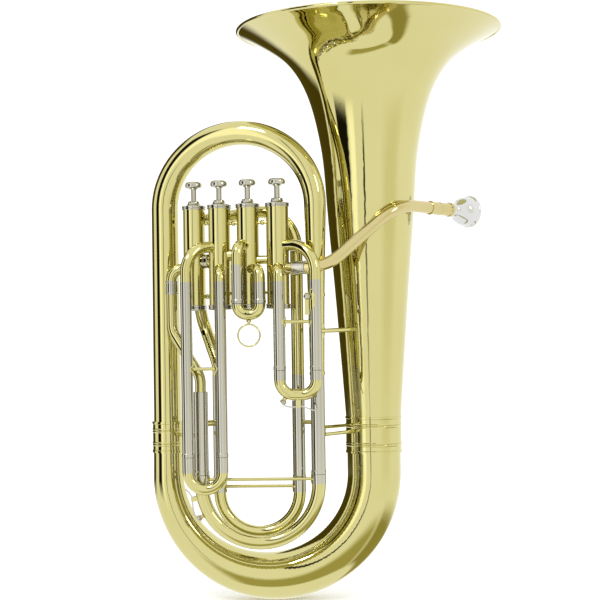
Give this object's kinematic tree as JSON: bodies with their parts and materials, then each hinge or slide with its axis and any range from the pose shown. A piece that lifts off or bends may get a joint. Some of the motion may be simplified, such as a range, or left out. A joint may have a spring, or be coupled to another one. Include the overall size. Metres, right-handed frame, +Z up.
{
  "type": "tuba",
  "caption": "Upright brass horn with a wide bell, piston valves pressed from above, pull slides, water keys and a silver mouthpiece.",
  "frame": {"origin": "on the floor plane under the middle of the instrument's outline; the low bow touches Z = 0", "axes": "+Z up along the bell's axis toward its mouth; -Y the side with the valve slides, facing the viewer; +X toward the bell and the mouthpiece"},
  "size_m": [0.4011, 0.3, 0.6442],
  "materials": {
    "lacquered_brass": "polished clear-lacquered yellow brass",
    "nickel_silver": "polished nickel silver",
    "rose_brass": "polished clear-lacquered rose brass",
    "silver_plate": "polished silver plate",
    "cork": "natural cork"
  },
  "bodies": {
    "instrument": {"bell": "lacquered_brass", "rim": "lacquered_brass", "bell_garland": "lacquered_brass", "bottom_bow": "lacquered_brass", "branch_garland": "lacquered_brass", "left_branch": "lacquered_brass", "top_bow": "lacquered_brass", "right_leg": "lacquered_brass", "casing_1": "lacquered_brass", "casing_2": "lacquered_brass", "casing_3": "lacquered_brass", "casing_4": "lacquered_brass", "top_caps": "nickel_silver", "bottom_caps": "nickel_silver", "casing_links": "lacquered_brass", "first_knuckles": "lacquered_brass", "first_sleeves": "nickel_silver", "second_knuckles": "lacquered_brass", "second_sleeves": "nickel_silver", "third_knuckles": "lacquered_brass", "third_sleeves": "nickel_silver", "sleeve_braces": "lacquered_brass", "fourth_pipes": "lacquered_brass", "fourth_sleeves": "nickel_silver", "exit_pipe": "lacquered_brass", "main_sleeves": "nickel_silver", "leadpipe": "rose_brass", "receiver": "rose_brass", "ferrules": "nickel_silver", "body_braces": "lacquered_brass", "lyre_holder": "lacquered_brass"},
    "valve_1": {"piston_1": "nickel_silver", "button_1": "nickel_silver"},
    "valve_2": {"piston_2": "nickel_silver", "button_2": "nickel_silver"},
    "valve_3": {"piston_3": "nickel_silver", "button_3": "nickel_silver"},
    "valve_4": {"piston_4": "nickel_silver", "button_4": "nickel_silver"},
    "first_slide": {"first_legs": "nickel_silver", "first_bow": "lacquered_brass", "first_key_saddle": "lacquered_brass"},
    "second_slide": {"second_legs": "nickel_silver", "second_bow": "lacquered_brass", "second_ring": "lacquered_brass"},
    "third_slide": {"third_legs": "nickel_silver", "third_bow": "lacquered_brass"},
    "fourth_slide": {"fourth_legs": "nickel_silver", "fourth_bow": "lacquered_brass", "fourth_brace": "lacquered_brass"},
    "main_slide": {"main_legs": "nickel_silver", "main_bow": "lacquered_brass", "main_brace": "lacquered_brass", "main_key_saddle": "lacquered_brass"},
    "first_key": {"first_key_lever": "nickel_silver", "first_key_cork": "cork"},
    "main_key": {"main_key_lever": "nickel_silver", "main_key_cork": "cork"},
    "lyre_thumbscrew": {"lyre_screw": "nickel_silver"},
    "mouthpiece_body": {"mouthpiece": "silver_plate"}
  },
  "joints": [
    {"name": "first_valve", "type": "slide", "parent": "instrument", "child": "valve_1", "axis": [0, 0, 1], "range_m": [-0.013, 0], "stiffness_N_per_m": 75, "springref_m": 0.03},
    {"name": "second_valve", "type": "slide", "parent": "instrument", "child": "valve_2", "axis": [0, 0, 1], "range_m": [-0.013, 0], "stiffness_N_per_m": 75, "springref_m": 0.03},
    {"name": "third_valve", "type": "slide", "parent": "instrument", "child": "valve_3", "axis": [0, 0, 1], "range_m": [-0.013, 0], "stiffness_N_per_m": 75, "springref_m": 0.03},
    {"name": "fourth_valve", "type": "slide", "parent": "instrument", "child": "valve_4", "axis": [0, 0, 1], "range_m": [-0.013, 0], "stiffness_N_per_m": 75, "springref_m": 0.03},
    {"name": "first_slide_pull", "type": "slide", "parent": "instrument", "child": "first_slide", "axis": [0, 0, 1], "range_m": [-0.045, 0]},
    {"name": "second_slide_pull", "type": "slide", "parent": "instrument", "child": "second_slide", "axis": [0, 0, 1], "range_m": [-0.012, 0]},
    {"name": "third_slide_pull", "type": "slide", "parent": "instrument", "child": "third_slide", "axis": [0, 0, 1], "range_m": [-0.06, 0]},
    {"name": "fourth_slide_pull", "type": "slide", "parent": "instrument", "child": "fourth_slide", "axis": [0, 0, 1], "range_m": [-0.055, 0]},
    {"name": "main_slide_pull", "type": "slide", "parent": "instrument", "child": "main_slide", "axis": [0, 0, 1], "range_m": [-0.05, 0]},
    {"name": "first_key_hinge", "type": "hinge", "parent": "first_slide", "child": "first_key", "pos_m": [-0.0342, -0.086, 0.2231], "axis": [0, -1, 0], "range_deg": [0, 12], "stiffness_Nm_per_rad": 0.03, "springref_deg": -20.05},
    {"name": "main_key_hinge", "type": "hinge", "parent": "main_slide", "child": "main_key", "pos_m": [-0.15218, -0.0506, 0.12009], "axis": [0, 1, 0], "range_deg": [0, 12], "stiffness_Nm_per_rad": 0.03, "springref_deg": -20.05},
    {"name": "lyre_screw_turn", "type": "hinge", "parent": "instrument", "child": "lyre_thumbscrew", "pos_m": [-0.0239, -0.095, 0.3406], "axis": [0, 1, 0], "continuous": true},
    {"name": "mouthpiece_pull", "type": "slide", "parent": "instrument", "child": "mouthpiece_body", "axis": [0.7452, 0.6662, -0.03], "range_m": [0, 0.03]}
  ]
}
